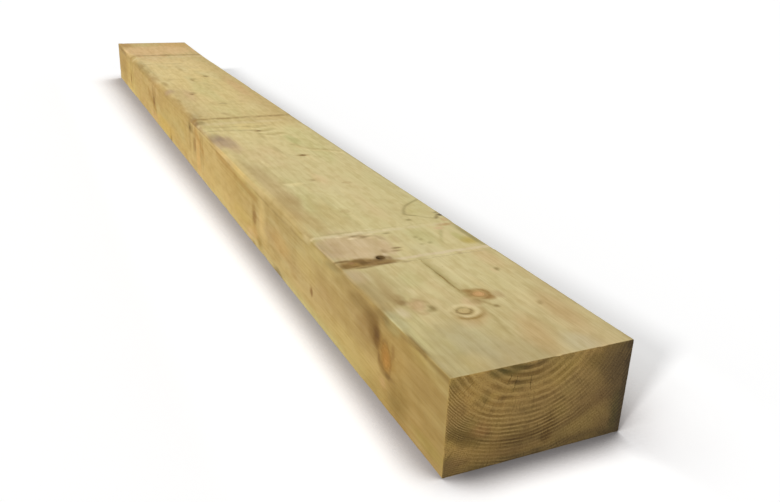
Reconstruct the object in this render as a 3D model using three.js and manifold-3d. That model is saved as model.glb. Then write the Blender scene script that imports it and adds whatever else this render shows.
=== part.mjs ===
// A new softwood railway sleeper, one sawn timber, in millimetres with +Z up.
// Its length runs along X, its width along Y and its thickness along Z. The origin is the
// middle of the underside, which is sawn straight and flat from end to end.
//
// The timber is lofted from sections along its length: a rectangle with eased corners, whose
// top sinks where the upper face is sawn hollow, and whose front top corner opens into the
// wane, the natural round of the log. A knot hole and the drying checks are cut out of that
// solid afterwards.

import * as THREE from "three";
import { mergeVertices } from "three/addons/utils/BufferGeometryUtils.js";
import Module from "manifold-3d";

// Sawn size.
const length = 2600;
const width = 250;
const thickness = 130;

// The timber is a little thinner along its middle than at the two sawn ends. The upper face
// sinks over a run from each end.
const hollowDepth = 6;
const plusEndRun = 1090;
const minusEndRun = 415;

// Eased edges: crisp off the saw, and worn wider along the back of the hollow upper face.
const sawnEdgeRadius = 2.5;
const backEdgeRadius = 3;
const endEdgeChamfer = 1.5;

// Wane along the front top edge: how far it reaches down the front side, at places along the
// length. Across the upper face it reaches further, by a ratio.
const wane = [
  { fromPlusEnd: 0, reach: sawnEdgeRadius },
  { fromPlusEnd: 110, reach: sawnEdgeRadius },
  { fromPlusEnd: 235, reach: 6 },
  { fromPlusEnd: 400, reach: 4 },
  { fromPlusEnd: 490, reach: 14 },
  { fromPlusEnd: 1150, reach: 12 },
  { fromPlusEnd: 1820, reach: 22 },
  { fromPlusEnd: 2260, reach: 20 },
  { fromPlusEnd: length, reach: sawnEdgeRadius },
];
const waneAcrossRatio = 1.25;

// Centre of the growth rings, above the upper face: the timber was sawn from one side of its log.
const heartFromFront = 104;
const heartAboveTop = 55;

// A knot hole in the upper face, where a dead knot fell out. It narrows towards its bottom.
const knotHoleFromPlusEnd = 338;
const knotHoleFromFront = 72;
const knotHoleDiameter = 12;
const knotHoleDepth = 26;
const knotHoleBottomRatio = 0.6;

// A drying check along the grain of the upper face.
const topCheckFromPlusEnd = 190;
const topCheckFromFront = 122;
const topCheckLength = 130;
const topCheckWidth = 1.2;
const topCheckDepth = 8;

// Drying checks in the +X end. Each lies on a ray from the heart, at its own angle from the
// vertical and its own distance from the heart.
const endCheckWidth = 0.9;
const endCheckDepth = 8;
const endChecks = [
  { angle: -20, fromHeart: 70, reach: 15 },
  { angle: -13, fromHeart: 72, reach: 21 },
  { angle: 1.5, fromHeart: 73, reach: 20 },
];

// Fineness of the lofted surface.
const stationSpacing = 45;
const cornerSteps = 3;
const knotHoleSides = 20;

const frontY = -width / 2;
const plusEndX = length / 2;
const heart = { y: frontY + heartFromFront, z: thickness + heartAboveTop };
const quarterTurn = Math.PI / 2;

/** Share of the hollow's depth reached at x: 0 at the ends, 1 along the middle. */
function hollowShare(x) {
  const fullEndX = plusEndX - endEdgeChamfer;
  const plusShare = (fullEndX - x) / plusEndRun;
  const minusShare = (fullEndX + x) / minusEndRun;
  const share = THREE.MathUtils.clamp(Math.min(plusShare, minusShare), 0, 1);
  return Math.sin(quarterTurn * share);
}

/** Height of the upper face at x. */
function topAt(x) {
  return thickness - hollowDepth * hollowShare(x);
}

/** How far the wane reaches down the front side at x. */
function waneAt(x) {
  const fromPlusEnd = plusEndX - x;
  const next = Math.max(1, wane.findIndex((place) => place.fromPlusEnd >= fromPlusEnd - 1e-6));
  const [before, after] = [wane[next - 1], wane[next]];
  const blend = THREE.MathUtils.smoothstep(fromPlusEnd, before.fromPlusEnd, after.fromPlusEnd);
  return THREE.MathUtils.lerp(before.reach, after.reach, blend);
}

/** Outline of the section at x, as points across the timber, set in by a small margin. */
function sectionAt(x, inset) {
  const left = frontY + inset;
  const right = -frontY - inset;
  const bottom = inset;
  const top = topAt(x) - inset;
  const down = waneAt(x);
  const across = THREE.MathUtils.lerp(down, down * waneAcrossRatio, hollowShare(x));
  const back = THREE.MathUtils.lerp(sawnEdgeRadius, backEdgeRadius, hollowShare(x));
  const sawn = sawnEdgeRadius;
  const outline = new THREE.Shape();
  outline.absarc(left + sawn, bottom + sawn, sawn, 2 * quarterTurn, 3 * quarterTurn);
  outline.absarc(right - sawn, bottom + sawn, sawn, 3 * quarterTurn, 4 * quarterTurn);
  outline.absarc(right - back, top - back, back, 0, quarterTurn);
  outline.absellipse(left + across, top - down, across, down, quarterTurn, 2 * quarterTurn);
  return outline.getPoints(cornerSteps);
}

/** Places along X where a section stands, from the -X end to the +X end. */
function stations() {
  const inner = length - 2 * endEdgeChamfer;
  const steps = Math.ceil(inner / stationSpacing);
  const places = [{ x: -plusEndX, inset: endEdgeChamfer }];
  for (let step = 0; step <= steps; step += 1) {
    places.push({ x: -inner / 2 + (inner * step) / steps, inset: 0 });
  }
  places.push({ x: plusEndX, inset: endEdgeChamfer });
  return places;
}

/** Closed solid through a row of sections that all have the same number of points. */
function loft(places) {
  const outlines = places.map(({ x, inset }) => sectionAt(x, inset));
  const positions = outlines.flatMap((outline, row) => (
    outline.flatMap((point) => [places[row].x, point.x, point.y])
  ));
  const count = outlines[0].length;
  const triangles = [];
  for (let row = 0; row + 1 < places.length; row += 1) {
    for (let side = 0; side < count; side += 1) {
      const here = row * count + side;
      const beside = row * count + ((side + 1) % count);
      triangles.push(here, beside + count, here + count);
      triangles.push(here, beside, beside + count);
    }
  }
  const lastRow = (places.length - 1) * count;
  THREE.ShapeUtils.triangulateShape(outlines[0], []).forEach(([a, b, c]) => {
    triangles.push(a, c, b);
    triangles.push(lastRow + a, lastRow + b, lastRow + c);
  });
  const geometry = new THREE.BufferGeometry();
  geometry.setAttribute("position", new THREE.Float32BufferAttribute(positions, 3));
  geometry.setIndex(triangles);
  return geometry;
}

/** Narrowing round plug that leaves the knot hole, sunk from the upper face. */
function knotHolePlug() {
  const radius = knotHoleDiameter / 2;
  const x = plusEndX - knotHoleFromPlusEnd;
  const proud = 1;
  const height = knotHoleDepth + proud;
  const plug = new THREE.CylinderGeometry(radius, radius * knotHoleBottomRatio, height, knotHoleSides);
  plug.rotateX(quarterTurn);
  plug.translate(x, frontY + knotHoleFromFront, topAt(x) + proud - height / 2);
  return plug;
}

/** Wedge that leaves a check: pointed at both ends along X and V-shaped down to its depth. */
function checkWedge(checkLength, checkWidth, checkDepth) {
  const wedge = new THREE.OctahedronGeometry(1);
  wedge.scale(checkLength / 2, checkWidth / 2, checkDepth);
  return wedge;
}

/** Wedge for the check along the grain of the upper face. */
function topCheckWedge() {
  const x = plusEndX - topCheckFromPlusEnd - topCheckLength / 2;
  const wedge = checkWedge(topCheckLength, topCheckWidth, topCheckDepth);
  wedge.translate(x, frontY + topCheckFromFront, topAt(x));
  return wedge;
}

/** Wedge for one check in the +X end, with its length along a ray from the heart. */
function endCheckWedge({ angle, fromHeart, reach }) {
  const turn = THREE.MathUtils.degToRad(angle);
  const middle = fromHeart + reach / 2;
  const wedge = checkWedge(reach, endCheckWidth, endCheckDepth);
  wedge.rotateY(quarterTurn);
  wedge.rotateX(turn);
  wedge.translate(plusEndX, heart.y + middle * Math.sin(turn), heart.z - middle * Math.cos(turn));
  return wedge;
}

const wasm = await Module();
wasm.setup();

/** Solid of a closed geometry. */
function toSolid(geometry) {
  geometry.deleteAttribute("normal");
  geometry.deleteAttribute("uv");
  const merged = mergeVertices(geometry);
  return new wasm.Manifold(new wasm.Mesh({
    numProp: 3,
    vertProperties: new Float32Array(merged.attributes.position.array),
    triVerts: new Uint32Array(merged.index.array),
  }));
}

/** Geometry of a solid. */
function toGeometry(solid) {
  const { vertProperties, triVerts } = solid.getMesh();
  const geometry = new THREE.BufferGeometry();
  geometry.setAttribute("position", new THREE.BufferAttribute(vertProperties, 3));
  geometry.setIndex(new THREE.BufferAttribute(triVerts, 1));
  geometry.computeVertexNormals();
  return geometry;
}

/** The whole sleeper: the lofted timber less its knot hole and its checks. */
function makeSleeper() {
  const cuts = [knotHolePlug(), topCheckWedge(), ...endChecks.map(endCheckWedge)];
  const timber = cuts.reduce((solid, cut) => solid.subtract(toSolid(cut)), toSolid(loft(stations())));
  const pine = new THREE.MeshStandardMaterial({ color: 0xc9b584, roughness: 0.85, metalness: 0 });
  const sleeper = new THREE.Mesh(toGeometry(timber), pine);
  sleeper.name = "sleeper";
  return sleeper;
}

const railwaySleeper = new THREE.Group();
railwaySleeper.add(makeSleeper());

export default railwaySleeper;
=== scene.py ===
# %% [markdown]
# # A new softwood railway sleeper
#
# A sleeper is one sawn timber, so this lesson makes one closed mesh. The work goes into
# what wood does: growth rings that run right through the block, knots that cross them,
# and faces that were sawn, stacked on bearers and treated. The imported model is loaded
# first. It stays as it is, and it says how large the block is and where it lies.

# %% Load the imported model
import math

import bmesh
import bpy
import numpy as np
from mathutils import Matrix, Vector, noise


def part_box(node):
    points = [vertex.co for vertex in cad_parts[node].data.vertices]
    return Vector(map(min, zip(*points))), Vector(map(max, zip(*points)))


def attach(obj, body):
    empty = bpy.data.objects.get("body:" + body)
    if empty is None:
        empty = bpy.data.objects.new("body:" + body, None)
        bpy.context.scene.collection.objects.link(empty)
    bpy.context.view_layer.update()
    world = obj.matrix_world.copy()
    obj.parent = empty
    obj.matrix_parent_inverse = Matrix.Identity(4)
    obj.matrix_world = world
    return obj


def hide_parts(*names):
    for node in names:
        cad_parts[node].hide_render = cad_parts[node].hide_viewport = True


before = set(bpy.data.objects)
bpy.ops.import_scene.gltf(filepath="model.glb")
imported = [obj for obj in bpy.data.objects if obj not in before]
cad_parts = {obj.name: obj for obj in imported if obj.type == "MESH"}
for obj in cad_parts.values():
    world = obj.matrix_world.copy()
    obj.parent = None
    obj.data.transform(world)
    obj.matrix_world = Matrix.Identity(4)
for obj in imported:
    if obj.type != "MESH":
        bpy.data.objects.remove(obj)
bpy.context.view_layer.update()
block_low, block_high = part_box("sleeper")
length, width, thickness = block_high - block_low
print(f"The block measures {length:.3f} x {width:.3f} x {thickness:.3f} m")

# %% [markdown]
# ## The camera
#
# The viewer stands close to one end and looks down along the timber, so the end grain is
# large and the far end runs away to a small square. A camera can be aimed with a
# constraint, but here its three axes are known, and a matrix built from them also gives
# the view a slight roll.

# %% Place the camera
camera_place = Vector((1.9244, -0.5033, 0.5643))
camera_right = Vector((0.42027, 0.90650, 0.04044)).normalized()
camera_forward = Vector((-0.83533, 0.40391, -0.37294)).normalized()
camera_up = camera_right.cross(camera_forward).normalized()
camera_turn = Matrix((camera_right, camera_up, -camera_forward)).transposed()

camera_data = bpy.data.cameras.new("camera")
camera_data.sensor_width = 36.0
camera_data.lens = 36.66
camera = bpy.data.objects.new("camera", camera_data)
camera.matrix_world = Matrix.Translation(camera_place) @ camera_turn.to_4x4()
bpy.context.scene.collection.objects.link(camera)
bpy.context.scene.camera = camera
print(f"The camera stands {(camera_place - block_high).length:.2f} m from the near top corner")

# %% [markdown]
# ## The block, as a fine grid
#
# Real timber is never a perfect box: its faces are a little hollow and rough, and its edges
# are bruised. To shape that, the block needs many small faces. A cube cut by
# `subdivide_edges`, one direction after the other, gives a clean grid of quads on all six
# sides. Remeshing would do it too, but it puts triangles of one size everywhere. The
# grid lines can be spread as wanted: close together at the near end, where the eye is,
# and at the edges, and wider apart towards the far end.

# %% Choose where the grid lines lie
mm = 0.001
end_chamfer = 1.5 * mm
edge_band = 2.8 * mm
fine_run = 580 * mm
middle_run = 1300 * mm


def spread(stops, cells):
    """Places of grid lines: each stretch between two stops is cut into its number of cells."""
    parts = [np.linspace(start, stop, count, endpoint=False)
             for start, stop, count in zip(stops[:-1], stops[1:], cells)]
    return np.append(np.concatenate(parts), stops[-1])


half_length = length / 2
half_width = width / 2
x_stops = [-half_length, -half_length + end_chamfer, half_length - middle_run,
           half_length - fine_run, half_length - end_chamfer, half_length]
y_stops = [-half_width, -half_width + edge_band, half_width - edge_band, half_width]
z_stops = [0, edge_band, thickness - edge_band, thickness]
lines = [spread(x_stops, [2, 66, 72, 236, 2]),
         spread(y_stops, [4, 70, 4]),
         spread(z_stops, [4, 34, 4])]
print("Grid cells along, across and up:", [len(places) - 1 for places in lines])

# %% Cut a cube into that grid
def runs_along(edge, axis):
    """True if an edge of the unit cube points along one axis."""
    step = edge.verts[1].co - edge.verts[0].co
    return abs(step[axis]) > 0.99 * step.length


block = bmesh.new()
bmesh.ops.create_cube(block, size=1.0)
for axis, places in enumerate(lines):
    running = [edge for edge in block.edges if runs_along(edge, axis)]
    bmesh.ops.subdivide_edges(block, edges=running, cuts=len(places) - 2, use_grid_fill=True)
print(f"The grid has {len(block.faces)} faces")

# %% [markdown]
# ## The sawn shape
#
# Three things turn the grid into the timber. The upper face was sawn a little hollow: it
# sinks from both ends towards the middle. The front top edge has wane, where the saw ran
# out of the log, so its corner is a flat ellipse. The other edges are only eased. Each
# grid point first goes to its place on a square-edged section, and then points near a
# corner are wrapped onto that corner's arc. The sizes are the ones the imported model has.

# %% Sizes of the hollow, the wane and the eased edges
hollow_depth = 6 * mm
plus_run = 1090 * mm
minus_run = 415 * mm
sawn_radius = 2.5 * mm
back_radius = 3 * mm
wane_ratio = 1.25
wane_from_end = [place * mm for place in (0, 110, 235, 400, 490, 1150, 1820, 2260, 2600)]
wane_down = [reach * mm for reach in (2.5, 2.5, 6, 4, 14, 12, 22, 20, 2.5)]
print(f"The wane reaches {min(wane_down) / mm:.1f} to {max(wane_down) / mm:.1f} mm down the front")


def smooth(value, low, high):
    """0 below low, 1 above high, and a soft step between them."""
    share = np.clip((value - low) / (high - low), 0, 1)
    return share * share * (3 - 2 * share)


def hollow_share(x):
    """0 at the ends, 1 along the flat middle of the upper face."""
    inner = half_length - end_chamfer
    run = np.minimum((inner - x) / plus_run, (inner + x) / minus_run)
    return np.sin(math.pi / 2 * np.clip(run, 0, 1))


def wane_at(x):
    """How far the wane reaches down the front side."""
    from_end = half_length - x
    reach = np.full_like(x, wane_down[0])
    for i in range(1, len(wane_down)):
        step = smooth(from_end, wane_from_end[i - 1], wane_from_end[i])
        reach += (wane_down[i] - wane_down[i - 1]) * step
    return reach


# %% Wrap a square corner onto an arc
def read_points(mesh):
    """All vertex places of a bmesh, as rows of x, y, z."""
    return np.array([vert.co for vert in mesh.verts])


def write_points(mesh, points):
    """Moves the vertices of a bmesh to new places."""
    for vert, place in zip(mesh.verts, points):
        vert.co = place


def wrap_corner(across, up, reach_across, reach_up):
    """Takes distances from a square corner and returns those on an elliptical one."""
    on_top = (up < 1e-9) & (across < reach_across)
    on_side = (across < 1e-9) & (up < reach_up)
    turn = np.full_like(across, math.pi / 4)
    turn = np.where(on_top, math.pi / 4 * (1 + across / np.maximum(reach_across, 1e-9)), turn)
    turn = np.where(on_side, math.pi / 4 * (1 - up / np.maximum(reach_up, 1e-9)), turn)
    wrapped = on_top | on_side
    across = np.where(wrapped, reach_across * (1 - np.cos(turn)), across)
    up = np.where(wrapped, reach_up * (1 - np.sin(turn)), up)
    return across, up


corner = np.zeros(1)
print(f"A sawn corner moves in by {wrap_corner(corner, corner, sawn_radius, sawn_radius)[0][0] / mm:.2f} mm")

# %% Put the grid points on the sawn shape
def shape_block(points):
    """Places the unit grid's points on the sawn shape."""
    x, y, z = [places[np.rint((points[:, axis] + 0.5) * (len(places) - 1)).astype(int)]
               for axis, places in enumerate(lines)]
    share = hollow_share(x)
    top = thickness - hollow_depth * share
    z = z / thickness * top
    depth = np.minimum(np.minimum(y + half_width, half_width - y), np.minimum(z, top - z))
    at_end = half_length - np.abs(x) < end_chamfer
    inset = np.where(at_end, end_chamfer - (half_length - np.abs(x)), 0)
    wane = wane_at(x)
    corners = [(-1, 1, wane * (1 + (wane_ratio - 1) * share), wane),
               (1, 1, sawn_radius + (back_radius - sawn_radius) * share, None),
               (-1, -1, np.full_like(x, sawn_radius), None),
               (1, -1, np.full_like(x, sawn_radius), None)]
    for side, level, reach_across, reach_up in corners:
        reach_up = reach_across if reach_up is None else reach_up
        across = half_width - side * y - depth
        up = (top - z if level > 0 else z) - depth
        new_across, new_up = wrap_corner(across, up, np.maximum(reach_across - depth, 0),
                                         np.maximum(reach_up - depth, 0))
        y = y - side * (new_across - across)
        z = z - level * (new_up - up)
    y = y * (1 - inset / half_width)
    middle = top / 2
    z = middle + (z - middle) * (1 - inset / middle)
    return np.column_stack((x, y, z))


write_points(block, shape_block(read_points(block)))
bmesh.ops.recalc_face_normals(block, faces=block.faces)
print(f"Volume of the sawn block: {block.calc_volume() * 1000:.2f} litres")

# %% [markdown]
# ## Checks and a knot hole
#
# Timber dries from the outside, and where the shell shrinks first it splits: those are the
# checks. They follow the grain, so one runs along the upper face and the ones in the end
# grain point at the heart of the tree. Near the first bearer mark a dead knot has dropped
# out. A Boolean modifier is the tool for such cuts. Each cutter is an eight-sided wedge,
# pointed at both ends, and its spine is bent a little, since no split is ruler straight.

# %% A wedge that cuts a check
spine_cuts = 20
spine_bends = 2.5


def mesh_object(name, bm):
    """Turns a bmesh into an object of the scene."""
    mesh = bpy.data.meshes.new(name)
    bm.to_mesh(mesh)
    bm.free()
    made = bpy.data.objects.new(name, mesh)
    bpy.context.scene.collection.objects.link(made)
    return made


def check_wedge(name, size, place, bend, seed):
    """A wedge that leaves a check: size is its length, width and depth."""
    bm = bmesh.new()
    bmesh.ops.create_uvsphere(bm, u_segments=4, v_segments=2, radius=1.0)
    long_edges = [edge for edge in bm.edges if abs(edge.verts[0].co.x - edge.verts[1].co.x) > 0.5]
    bmesh.ops.subdivide_edges(bm, edges=long_edges, cuts=spine_cuts)
    bmesh.ops.triangulate(bm, faces=bm.faces)
    for vert in bm.verts:
        vert.co.y += bend * noise.noise(Vector((vert.co.x * spine_bends, seed, 0)))
    bmesh.ops.scale(bm, vec=Vector((size[0] / 2, size[1] / 2, size[2])), verts=bm.verts)
    bmesh.ops.transform(bm, matrix=place, verts=bm.verts)
    bmesh.ops.recalc_face_normals(bm, faces=bm.faces)
    return mesh_object(name, bm)


def top_at(x):
    """Height of the upper face at one place along the timber."""
    return thickness - hollow_depth * float(hollow_share(np.array([x]))[0])


print(f"In the middle the upper face is {top_at(0) / mm:.1f} mm high")

# %% Cutters of the checks
check_depth = 8 * mm
top_check_length = 130 * mm
top_check_width = 1.2 * mm
top_check_bend = 2.0
check_from_end = 190 * mm
check_from_front = 122 * mm
check_x = half_length - check_from_end - top_check_length / 2
check_y = check_from_front - half_width
place = Matrix.Translation((check_x, check_y, top_at(check_x)))
size = (top_check_length, top_check_width, check_depth)
cutters = [check_wedge("check_in_top", size, place, top_check_bend, 1)]

heart_from_front = 104 * mm
heart_above_top = 55 * mm
heart_y = heart_from_front - half_width
heart_z = thickness + heart_above_top
end_check_width = 0.9 * mm
end_check_bend = 1.5
# Angle from the vertical, distance from the heart, and length along that ray.
end_checks = [(-20, 70, 15), (-13, 72, 21), (1.5, 73, 20)]
for number, (angle, from_heart, reach) in enumerate(end_checks):
    turn = math.radians(angle)
    middle = (from_heart + reach / 2) * mm
    on_ray = Vector((half_length, heart_y + middle * math.sin(turn), heart_z - middle * math.cos(turn)))
    place = (Matrix.Translation(on_ray) @ Matrix.Rotation(turn, 4, "X")
             @ Matrix.Rotation(math.pi / 2, 4, "Y"))
    size = (reach * mm, end_check_width, check_depth)
    cutters.append(check_wedge(f"check_in_end_{number}", size, place, end_check_bend, number + 2))
print("Checks:", len(cutters))

# %% Cutter of the knot hole
hole_radius = 6 * mm
hole_bottom_radius = 0.6 * hole_radius
hole_depth = 26 * mm
hole_from_end = 338 * mm
hole_from_front = 72 * mm
hole_x = half_length - hole_from_end
hole_y = hole_from_front - half_width
standing_out = 1 * mm
cutter_height = hole_depth + standing_out
hole = bmesh.new()
bmesh.ops.create_cone(hole, cap_ends=True, segments=20, radius1=hole_bottom_radius,
                      radius2=hole_radius, depth=cutter_height)
hole_place = Vector((hole_x, hole_y, top_at(hole_x) + standing_out - cutter_height / 2))
bmesh.ops.translate(hole, vec=hole_place, verts=hole.verts)
cutters.append(mesh_object("knot_hole", hole))
print("Cutters:", ", ".join(cutter.name for cutter in cutters))

# %% Cut the block
sleeper = mesh_object("sleeper_timber", block)
for cutter in cutters:
    cut = sleeper.modifiers.new(cutter.name, "BOOLEAN")
    cut.operation = "DIFFERENCE"
    cut.solver = "MANIFOLD"
    cut.object = cutter
evaluated = sleeper.evaluated_get(bpy.context.evaluated_depsgraph_get())
cut_mesh = bpy.data.meshes.new_from_object(evaluated)
sleeper.modifiers.clear()
sleeper.data = cut_mesh
for cutter in cutters:
    bpy.data.objects.remove(cutter)

timber = bmesh.new()
timber.from_mesh(cut_mesh)
bmesh.ops.remove_doubles(timber, verts=timber.verts, dist=0.0005 * mm)
many_sided = [face for face in timber.faces if len(face.verts) > 4]
bmesh.ops.triangulate(timber, faces=many_sided)
timber.normal_update()
open_edges = [edge for edge in timber.edges if not edge.is_manifold]
print(f"After the cuts: {len(timber.faces)} faces, {len(open_edges)} open edges")

# %% [markdown]
# ## Where every point is
#
# The next steps ask the same questions of each point: how far from the end, how far from
# the front edge, how deep, and which face it belongs to. The answers are worked out once,
# as long numpy arrays in millimetres. Points inside a check or the knot hole are kept
# apart, because a saw or a bearer never touched them.

# %% Places and faces in a sawyer's terms
points = read_points(timber) / mm
normals = np.array([vert.normal for vert in timber.verts])
point_count = len(points)
from_end = half_length / mm - points[:, 0]
from_far_end = half_length / mm + points[:, 0]
from_front = points[:, 1] + half_width / mm
from_back = half_width / mm - points[:, 1]
height = points[:, 2]
depth_below_top = (thickness - hollow_depth * hollow_share(points[:, 0] * mm)) / mm - height

cut_skin = 0.8
clear_of_wane = 30
clear_of_edge = 8
in_cut = ((np.minimum(from_end, from_far_end) > 2 * cut_skin) & (depth_below_top > cut_skin)
          & (from_front > clear_of_wane) & (np.minimum(from_back, height) > clear_of_edge))
end_skin = 0.9
on_near_end = (from_end < end_skin).astype(float)
on_far_end = (from_far_end < end_skin).astype(float)
on_ends = on_near_end + on_far_end
along_face = 1 - on_ends
facing = {
    "near end": on_near_end,
    "far end": on_far_end,
    "top": along_face * smooth(normals[:, 2], 0.3, 0.8),
    "bottom": along_face * smooth(-normals[:, 2], 0.3, 0.8),
    "front": along_face * smooth(-normals[:, 1], 0.55, 0.9),
    "back": along_face * smooth(normals[:, 1], 0.55, 0.9),
}
print("Points on each face:", {face: int(share.sum()) for face, share in facing.items()})
print("Points inside the cuts:", int(in_cut.sum()))

# %% A helper for slow and fine noise
seed_step = 17.3


def noise_at(rows, stretch, seed, octaves=1):
    """Noise from -1 to 1 at rows of millimetres, each axis divided by its stretch."""
    scaled = rows / np.array(stretch) + seed * seed_step
    values = np.zeros(len(rows))
    for octave in range(octaves):
        step = 2.0 ** octave
        values += np.array([noise.noise(Vector(row * step)) for row in scaled]) / step
    return values


print("Noise at three of the points:", noise_at(points[:3], (100, 100, 100), 1).round(2).tolist())

# %% [markdown]
# ## The knots
#
# A knot is the foot of a branch, so it starts at the heart of the tree and runs outwards.
# The heart of this log lies above the upper face, which is why one branch can show on two
# faces: it comes in through the top and leaves through the front. Each knot is therefore
# given as a line in space, from the heart to the place where it leaves the block, and the
# faces cut it by themselves. Pines grow a ring of branches once a year, so the knots come
# in groups. The young inner part of a branch is live wood and hardly shows, and the outer
# part is darker and has bark round it.

# %% List the knots
PALE, ORANGE, BROWN, DARK = 0.0, 0.33, 0.66, 1.0

# Face, distance from the near end, distance across the face or below its top edge,
# radius, distance from the end where the branch starts at the heart, tone, and how
# plainly it shows.
knots = [
    ("top", 140, 98, 9, 143, PALE, 0.5),
    ("top", 178, 141, 8.5, 184, 0.1, 0.35),
    ("front", 158, 57, 15, 196, 0.2, 0.25),
    ("front", 432, 84, 5, 450, BROWN, 0.4),
    ("top", 735, 112, 5.5, 740, BROWN, 0.4),
    ("front", 747, 66, 9, 722, BROWN, 0.25),
    ("top", 909, 152, 5.5, 919, BROWN, 0.6),
    ("top", 1140, 124, 5, 1146, DARK, 0.5),
    ("front", 1266, 56, 11, 1263, BROWN, 0.4),
    ("front", 1313, 26, 7, 1321, DARK, 0.8),
    ("top", 1601, 68, 7, 1610, DARK, 0.9),
    ("top", 1815, 113, 5.5, 1820, BROWN, 0.7),
    ("top", 1875, 166, 7, 1887, BROWN, 0.7),
    ("front", 1837, 62, 11, 1833, BROWN, 0.7),
    ("top", 2296, 118, 7, 2302, DARK, 0.8),
    ("front", 2308, 77, 11, 2303, ORANGE, 0.7),
    ("back", 694, 80, 10, 704, BROWN, 0.7),
    ("back", 1486, 66, 12, 1480, BROWN, 0.8),
    ("back", 2194, 92, 13, 2184, DARK, 0.6),
    ("bottom", 560, 96, 16, 540, BROWN, 0.9),
    ("bottom", 1480, 150, 19, 1450, DARK, 0.9),
    ("bottom", 2080, 60, 13, 2060, ORANGE, 0.9),
]
print("Knots on the upper face:", sum(knot[0] == "top" for knot in knots))

# %% Run a branch from the heart to each knot
def place_on_face(face, from_near_end, second):
    """A point on a face, in millimetres of the frame."""
    x = half_length / mm - from_near_end
    top = top_at(x * mm) / mm
    return {
        "top": (x, second - half_width / mm, top),
        "bottom": (x, second - half_width / mm, 0),
        "front": (x, -half_width / mm, top - second),
        "back": (x, half_width / mm, top - second),
    }[face]


heart = np.array([heart_y, heart_z]) / mm
branches = []
for face, from_near_end, second, radius, start, colour, show in knots:
    leaves = np.array(place_on_face(face, from_near_end, second))
    root = np.array([half_length / mm - start, heart[0], heart[1]])
    reach = np.linalg.norm(leaves - root)
    branches.append({"root": root, "axis": (leaves - root) / reach, "reach": reach,
                     "radius": radius, "tone": colour, "show": show})
print(f"{len(branches)} knots, the widest {2 * max(b['radius'] for b in branches)} mm across")

# %% Measure every point's distance to the nearest knot
at_heart = 0.45
thinnest = 0.2
thickest = 1.25


def branch_distance(branch, rows):
    """Distance from a branch's middle line in its own radii, its girth, and how far out it is."""
    offset = rows - branch["root"]
    out = offset @ branch["axis"]
    aside = np.linalg.norm(offset - np.outer(out, branch["axis"]), axis=1)
    grown = at_heart + (1 - at_heart) * out / branch["reach"]
    girth = branch["radius"] * np.clip(grown, thinnest, thickest)
    return np.where(out > 0, aside / girth, 9), girth, out / branch["reach"]


outline_noise = noise_at(points, (16, 13, 13), 3, octaves=2)
knot_distance = np.full(point_count, 9.0)
knot_tone = np.zeros(point_count)
knot_show = np.zeros(point_count)
ring_push = np.zeros(point_count)
for branch in branches:
    distance, girth, out = branch_distance(branch, points)
    distance = distance * (1 + 0.20 * outline_noise)
    nearer = distance < knot_distance
    knot_distance = np.where(nearer, distance, knot_distance)
    knot_tone = np.where(nearer, branch["tone"], knot_tone)
    knot_show = np.where(nearer, branch["show"] * (0.25 + 0.75 * smooth(out, 0.45, 0.9)), knot_show)
    ring_push += 1.3 * girth * np.exp(-(distance / 1.9) ** 2)
bark_show = knot_show * smooth(noise_at(points, (34, 24, 24), 4), -0.5, 0.35)
print(f"Points inside a knot: {int((knot_distance < 1).sum())}")

# %% [markdown]
# ## The growth rings
#
# Rings are shells round the heart, so the distance of a point from the heart tells which
# year's wood it is in. The tree grew fast when it was young: the inner rings are about
# 10 mm wide and the outer ones half that. Because the number is worked out in space, the
# end grain shows arcs and the faces show straight or arched grain, and the two meet at
# the edges as they do in real timber. Near a branch the rings bulge outwards along it,
# and that is what draws the closed loops round a knot.

# %% Number the rings
slow = np.column_stack((from_end, np.zeros(point_count), np.zeros(point_count)))
near_fade = smooth(from_end, 0, 250)
heart_sway_y = 9 * near_fade * noise_at(slow, (700, 1, 1), 5)
heart_sway_z = 7 * near_fade * noise_at(slow, (900, 1, 1), 6)
taper = 0.006
ring_y = points[:, 1] - heart[0] - heart_sway_y
ring_z = height - heart[1] - heart_sway_z
from_heart = np.hypot(ring_y, ring_z)
ring_waver = 2.4 * noise_at(points, (420, 45, 45), 7) + 0.8 * noise_at(points, (160, 14, 14), 8)
ring_radius = from_heart + taper * from_end + ring_waver - ring_push
ring_at_radius = [0, 59, 98, 116, 137, 152, 178, 300]
ring_number = [0, 6, 10, 12, 15.5, 18.5, 24, 50]
growth = np.interp(ring_radius, ring_at_radius, ring_number)
ray = np.arctan2(ring_y, -ring_z)
print(f"Rings in the block: {growth.max() - growth.min():.0f}")

# %% [markdown]
# ## The relief of a sawn face
#
# A sawn face is not smooth. The hard late wood of each ring stands a little proud, the saw
# left a faint ripple across the timber, knots have a groove round them where the bark was,
# bearers pressed shallow bands into the face, and the edges are bruised. All of it is cut
# into the mesh, in tenths of a millimetre, so that light rakes over it. A displacement
# modifier could do the same from one texture, but each of these marks has its own rule and
# its own face, so they are summed here. Points only move inwards, so that the timber
# never grows past its sawn size.

# %% Sum the relief
ring_share = growth - np.floor(growth)
late_wood = smooth(ring_share, 0.5, 0.9) * (1 - smooth(ring_share, 0.95, 1.0))
saw_pitch = 19
saw_place = from_end + 3 * noise_at(points, (200, 90, 90), 21)
saw_wave = np.sin(2 * math.pi * saw_place / saw_pitch)
broad_wave = noise_at(points, (420, 120, 120), 22)
fine_rough = noise_at(points, (38, 5, 5), 23, octaves=2)
knot_groove = knot_show * np.exp(-((knot_distance - 1.06) / 0.16) ** 2)
knot_swell = knot_show * np.exp(-((knot_distance - 1.9) / 0.6) ** 2)

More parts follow.
